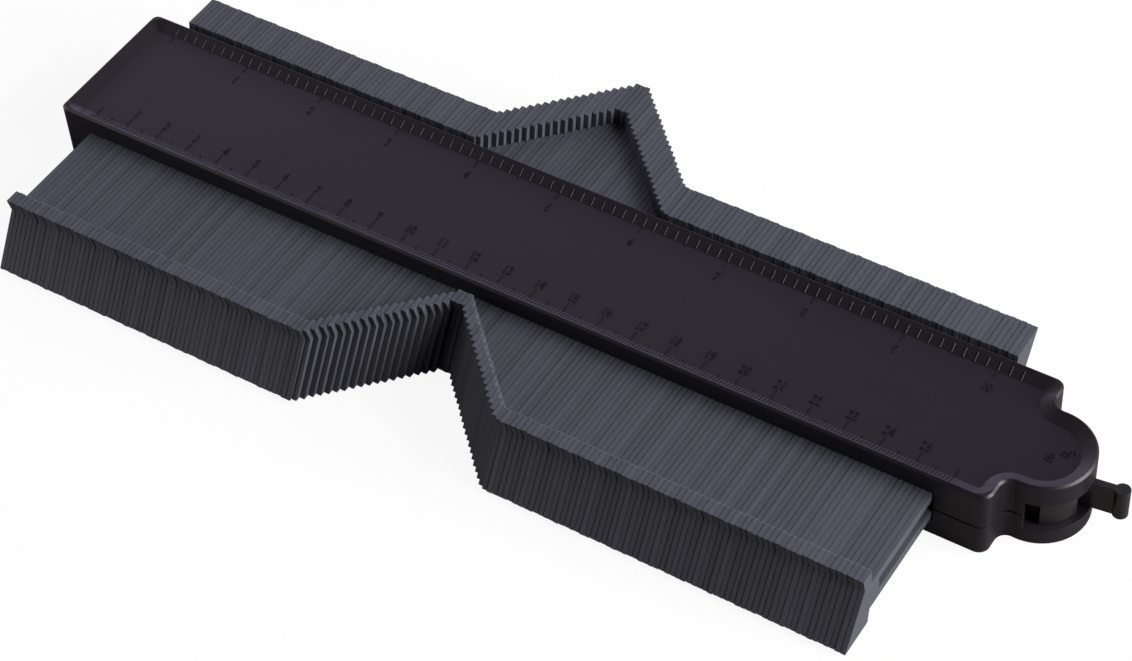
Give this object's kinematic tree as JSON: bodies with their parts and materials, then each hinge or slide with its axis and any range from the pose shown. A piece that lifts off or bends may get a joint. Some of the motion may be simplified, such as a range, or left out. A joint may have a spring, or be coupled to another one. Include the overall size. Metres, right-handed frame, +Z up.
{
  "type": "contour gauge",
  "caption": "Ruler-shaped contour gauge: thin plastic leaves slide across a narrow case to copy a profile, and a cam lever at its end clamps them.",
  "frame": {"origin": "middle of the case's flat underside", "axes": "+X along the ruler towards the lever, +Y across the case towards the inch edge, +Z up out of the ruler face"},
  "size_m": [0.3063, 0.1283, 0.0214],
  "materials": {
    "case_plastic": "near-black satin ABS with a fine moulded grain",
    "leaf_plastic": "slate grey ABS, cleanly moulded, dry and matte",
    "steel": "plain steel"
  },
  "bodies": {
    "case": {"top_case": "case_plastic", "bottom_case": "case_plastic", "guide_rail_near": "steel", "guide_rail_far": "steel", "case_screws": "steel", "lever_pin": "steel"},
    "lock_lever": {"lock_lever": "case_plastic"},
    "pressure_block": {"pressure_block": "leaf_plastic"},
    "leaf_bank_left_1": {"leaf_bank_left_1": "leaf_plastic"},
    "leaf_bank_left_2": {"leaf_bank_left_2": "leaf_plastic"},
    "leaf_bank_left_3": {"leaf_bank_left_3": "leaf_plastic"},
    "leaf_bank_left_4": {"leaf_bank_left_4": "leaf_plastic"},
    "leaf_bank_left_5": {"leaf_bank_left_5": "leaf_plastic"},
    "leaf_bank_left_6": {"leaf_bank_left_6": "leaf_plastic"},
    "leaf_01": {"leaf_01": "leaf_plastic"},
    "leaf_02": {"leaf_02": "leaf_plastic"},
    "leaf_03": {"leaf_03": "leaf_plastic"},
    "leaf_04": {"leaf_04": "leaf_plastic"},
    "leaf_05": {"leaf_05": "leaf_plastic"},
    "leaf_06": {"leaf_06": "leaf_plastic"},
    "leaf_07": {"leaf_07": "leaf_plastic"},
    "leaf_08": {"leaf_08": "leaf_plastic"},
    "leaf_09": {"leaf_09": "leaf_plastic"},
    "leaf_10": {"leaf_10": "leaf_plastic"},
    "leaf_11": {"leaf_11": "leaf_plastic"},
    "leaf_12": {"leaf_12": "leaf_plastic"},
    "leaf_13": {"leaf_13": "leaf_plastic"},
    "leaf_14": {"leaf_14": "leaf_plastic"},
    "leaf_15": {"leaf_15": "leaf_plastic"},
    "leaf_16": {"leaf_16": "leaf_plastic"},
    "leaf_17": {"leaf_17": "leaf_plastic"},
    "leaf_18": {"leaf_18": "leaf_plastic"},
    "leaf_19": {"leaf_19": "leaf_plastic"},
    "leaf_20": {"leaf_20": "leaf_plastic"},
    "leaf_21": {"leaf_21": "leaf_plastic"},
    "leaf_22": {"leaf_22": "leaf_plastic"},
    "leaf_23": {"leaf_23": "leaf_plastic"},
    "leaf_24": {"leaf_24": "leaf_plastic"},
    "leaf_25": {"leaf_25": "leaf_plastic"},
    "leaf_26": {"leaf_26": "leaf_plastic"},
    "leaf_27": {"leaf_27": "leaf_plastic"},
    "leaf_28": {"leaf_28": "leaf_plastic"},
    "leaf_29": {"leaf_29": "leaf_plastic"},
    "leaf_30": {"leaf_30": "leaf_plastic"},
    "leaf_31": {"leaf_31": "leaf_plastic"},
    "leaf_32": {"leaf_32": "leaf_plastic"},
    "leaf_33": {"leaf_33": "leaf_plastic"},
    "leaf_34": {"leaf_34": "leaf_plastic"},
    "leaf_35": {"leaf_35": "leaf_plastic"},
    "leaf_36": {"leaf_36": "leaf_plastic"},
    "leaf_37": {"leaf_37": "leaf_plastic"},
    "leaf_38": {"leaf_38": "leaf_plastic"},
    "leaf_39": {"leaf_39": "leaf_plastic"},
    "leaf_bank_right_1": {"leaf_bank_right_1": "leaf_plastic"},
    "leaf_bank_right_2": {"leaf_bank_right_2": "leaf_plastic"},
    "leaf_bank_right_3": {"leaf_bank_right_3": "leaf_plastic"},
    "leaf_bank_right_4": {"leaf_bank_right_4": "leaf_plastic"},
    "leaf_bank_right_5": {"leaf_bank_right_5": "leaf_plastic"},
    "leaf_bank_right_6": {"leaf_bank_right_6": "leaf_plastic"}
  },
  "joints": [
    {"name": "lever_hinge", "type": "hinge", "parent": "case", "child": "lock_lever", "pos_m": [0.1468, 0, 0.01005], "axis": [0, 0, -1], "range_deg": [0, 85]},
    {"name": "pressure_slide", "type": "slide", "parent": "case", "child": "pressure_block", "axis": [-1, 0, 0], "range_m": [0, 0.00085]},
    {"name": "leaf_bank_left_1_slide", "type": "slide", "parent": "case", "child": "leaf_bank_left_1", "axis": [0, 1, 0], "range_m": [-0.00075, 0.02983]},
    {"name": "leaf_bank_left_2_slide", "type": "slide", "parent": "case", "child": "leaf_bank_left_2", "axis": [0, 1, 0], "range_m": [-0.00071, 0.0298]},
    {"name": "leaf_bank_left_3_slide", "type": "slide", "parent": "case", "child": "leaf_bank_left_3", "axis": [0, 1, 0], "range_m": [-0.00071, 0.02985]},
    {"name": "leaf_bank_left_4_slide", "type": "slide", "parent": "case", "child": "leaf_bank_left_4", "axis": [0, 1, 0], "range_m": [-0.00076, 0.02982]},
    {"name": "leaf_bank_left_5_slide", "type": "slide", "parent": "case", "child": "leaf_bank_left_5", "axis": [0, 1, 0], "range_m": [-0.00072, 0.02983]},
    {"name": "leaf_bank_left_6_slide", "type": "slide", "parent": "case", "child": "leaf_bank_left_6", "axis": [0, 1, 0], "range_m": [-0.00071, 0.02981]},
    {"name": "leaf_01_slide", "type": "slide", "parent": "case", "child": "leaf_01", "axis": [0, 1, 0], "range_m": [-0.00156, 0.02924]},
    {"name": "leaf_02_slide", "type": "slide", "parent": "case", "child": "leaf_02", "axis": [0, 1, 0], "range_m": [-0.00304, 0.02776]},
    {"name": "leaf_03_slide", "type": "slide", "parent": "case", "child": "leaf_03", "axis": [0, 1, 0], "range_m": [-0.00475, 0.02605]},
    {"name": "leaf_04_slide", "type": "slide", "parent": "case", "child": "leaf_04", "axis": [0, 1, 0], "range_m": [-0.00613, 0.02467]},
    {"name": "leaf_05_slide", "type": "slide", "parent": "case", "child": "leaf_05", "axis": [0, 1, 0], "range_m": [-0.00759, 0.02321]},
    {"name": "leaf_06_slide", "type": "slide", "parent": "case", "child": "leaf_06", "axis": [0, 1, 0], "range_m": [-0.0091, 0.0217]},
    {"name": "leaf_07_slide", "type": "slide", "parent": "case", "child": "leaf_07", "axis": [0, 1, 0], "range_m": [-0.01048, 0.02031]},
    {"name": "leaf_08_slide", "type": "slide", "parent": "case", "child": "leaf_08", "axis": [0, 1, 0], "range_m": [-0.01218, 0.01861]},
    {"name": "leaf_09_slide", "type": "slide", "parent": "case", "child": "leaf_09", "axis": [0, 1, 0], "range_m": [-0.01369, 0.01711]},
    {"name": "leaf_10_slide", "type": "slide", "parent": "case", "child": "leaf_10", "axis": [0, 1, 0], "range_m": [-0.01513, 0.01567]},
    {"name": "leaf_11_slide", "type": "slide", "parent": "case", "child": "leaf_11", "axis": [0, 1, 0], "range_m": [-0.01668, 0.01412]},
    {"name": "leaf_12_slide", "type": "slide", "parent": "case", "child": "leaf_12", "axis": [0, 1, 0], "range_m": [-0.018, 0.0128]},
    {"name": "leaf_13_slide", "type": "slide", "parent": "case", "child": "leaf_13", "axis": [0, 1, 0], "range_m": [-0.0196, 0.0112]},
    {"name": "leaf_14_slide", "type": "slide", "parent": "case", "child": "leaf_14", "axis": [0, 1, 0], "range_m": [-0.0212, 0.0096]},
    {"name": "leaf_15_slide", "type": "slide", "parent": "case", "child": "leaf_15", "axis": [0, 1, 0], "range_m": [-0.02264, 0.00816]},
    {"name": "leaf_16_slide", "type": "slide", "parent": "case", "child": "leaf_16", "axis": [0, 1, 0], "range_m": [-0.02426, 0.00654]},
    {"name": "leaf_17_slide", "type": "slide", "parent": "case", "child": "leaf_17", "axis": [0, 1, 0], "range_m": [-0.02559, 0.00521]},
    {"name": "leaf_18_slide", "type": "slide", "parent": "case", "child": "leaf_18", "axis": [0, 1, 0], "range_m": [-0.02704, 0.00376]},
    {"name": "leaf_19_slide", "type": "slide", "parent": "case", "child": "leaf_19", "axis": [0, 1, 0], "range_m": [-0.02867, 0.00213]},
    {"name": "leaf_20_slide", "type": "slide", "parent": "case", "child": "leaf_20", "axis": [0, 1, 0], "range_m": [-0.02861, 0.00219]},
    {"name": "leaf_21_slide", "type": "slide", "parent": "case", "child": "leaf_21", "axis": [0, 1, 0], "range_m": [-0.02876, 0.00204]},
    {"name": "leaf_22_slide", "type": "slide", "parent": "case", "child": "leaf_22", "axis": [0, 1, 0], "range_m": [-0.02721, 0.00359]},
    {"name": "leaf_23_slide", "type": "slide", "parent": "case", "child": "leaf_23", "axis": [0, 1, 0], "range_m": [-0.02555, 0.00525]},
    {"name": "leaf_24_slide", "type": "slide", "parent": "case", "child": "leaf_24", "axis": [0, 1, 0], "range_m": [-0.02414, 0.00666]},
    {"name": "leaf_25_slide", "type": "slide", "parent": "case", "child": "leaf_25", "axis": [0, 1, 0], "range_m": [-0.02255, 0.00825]},
    {"name": "leaf_26_slide", "type": "slide", "parent": "case", "child": "leaf_26", "axis": [0, 1, 0], "range_m": [-0.02117, 0.00963]},
    {"name": "leaf_27_slide", "type": "slide", "parent": "case", "child": "leaf_27", "axis": [0, 1, 0], "range_m": [-0.01976, 0.01104]},
    {"name": "leaf_28_slide", "type": "slide", "parent": "case", "child": "leaf_28", "axis": [0, 1, 0], "range_m": [-0.01809, 0.01271]},
    {"name": "leaf_29_slide", "type": "slide", "parent": "case", "child": "leaf_29", "axis": [0, 1, 0], "range_m": [-0.01665, 0.01415]},
    {"name": "leaf_30_slide", "type": "slide", "parent": "case", "child": "leaf_30", "axis": [0, 1, 0], "range_m": [-0.01504, 0.01576]},
    {"name": "leaf_31_slide", "type": "slide", "parent": "case", "child": "leaf_31", "axis": [0, 1, 0], "range_m": [-0.01355, 0.01725]},
    {"name": "leaf_32_slide", "type": "slide", "parent": "case", "child": "leaf_32", "axis": [0, 1, 0], "range_m": [-0.01224, 0.01856]},
    {"name": "leaf_33_slide", "type": "slide", "parent": "case", "child": "leaf_33", "axis": [0, 1, 0], "range_m": [-0.01063, 0.02017]},
    {"name": "leaf_34_slide", "type": "slide", "parent": "case", "child": "leaf_34", "axis": [0, 1, 0], "range_m": [-0.00917, 0.02163]},
    {"name": "leaf_35_slide", "type": "slide", "parent": "case", "child": "leaf_35", "axis": [0, 1, 0], "range_m": [-0.0076, 0.0232]},
    {"name": "leaf_36_slide", "type": "slide", "parent": "case", "child": "leaf_36", "axis": [0, 1, 0], "range_m": [-0.00597, 0.02483]},
    {"name": "leaf_37_slide", "type": "slide", "parent": "case", "child": "leaf_37", "axis": [0, 1, 0], "range_m": [-0.00465, 0.02615]},
    {"name": "leaf_38_slide", "type": "slide", "parent": "case", "child": "leaf_38", "axis": [0, 1, 0], "range_m": [-0.00312, 0.02768]},
    {"name": "leaf_39_slide", "type": "slide", "parent": "case", "child": "leaf_39", "axis": [0, 1, 0], "range_m": [-0.00166, 0.02915]},
    {"name": "leaf_bank_right_1_slide", "type": "slide", "parent": "case", "child": "leaf_bank_right_1", "axis": [0, 1, 0], "range_m": [-0.00072, 0.0298]},
    {"name": "leaf_bank_right_2_slide", "type": "slide", "parent": "case", "child": "leaf_bank_right_2", "axis": [0, 1, 0], "range_m": [-0.00071, 0.02986]},
    {"name": "leaf_bank_right_3_slide", "type": "slide", "parent": "case", "child": "leaf_bank_right_3", "axis": [0, 1, 0], "range_m": [-0.00073, 0.02984]},
    {"name": "leaf_bank_right_4_slide", "type": "slide", "parent": "case", "child": "leaf_bank_right_4", "axis": [0, 1, 0], "range_m": [-0.0007, 0.02981]},
    {"name": "leaf_bank_right_5_slide", "type": "slide", "parent": "case", "child": "leaf_bank_right_5", "axis": [0, 1, 0], "range_m": [-0.00075, 0.0298]},
    {"name": "leaf_bank_right_6_slide", "type": "slide", "parent": "case", "child": "leaf_bank_right_6", "axis": [0, 1, 0], "range_m": [-0.00072, 0.02985]}
  ],
  "couplings": [
    {"joint": "pressure_slide", "follows": "lever_hinge", "m_per_rad": 0.000572}
  ]
}
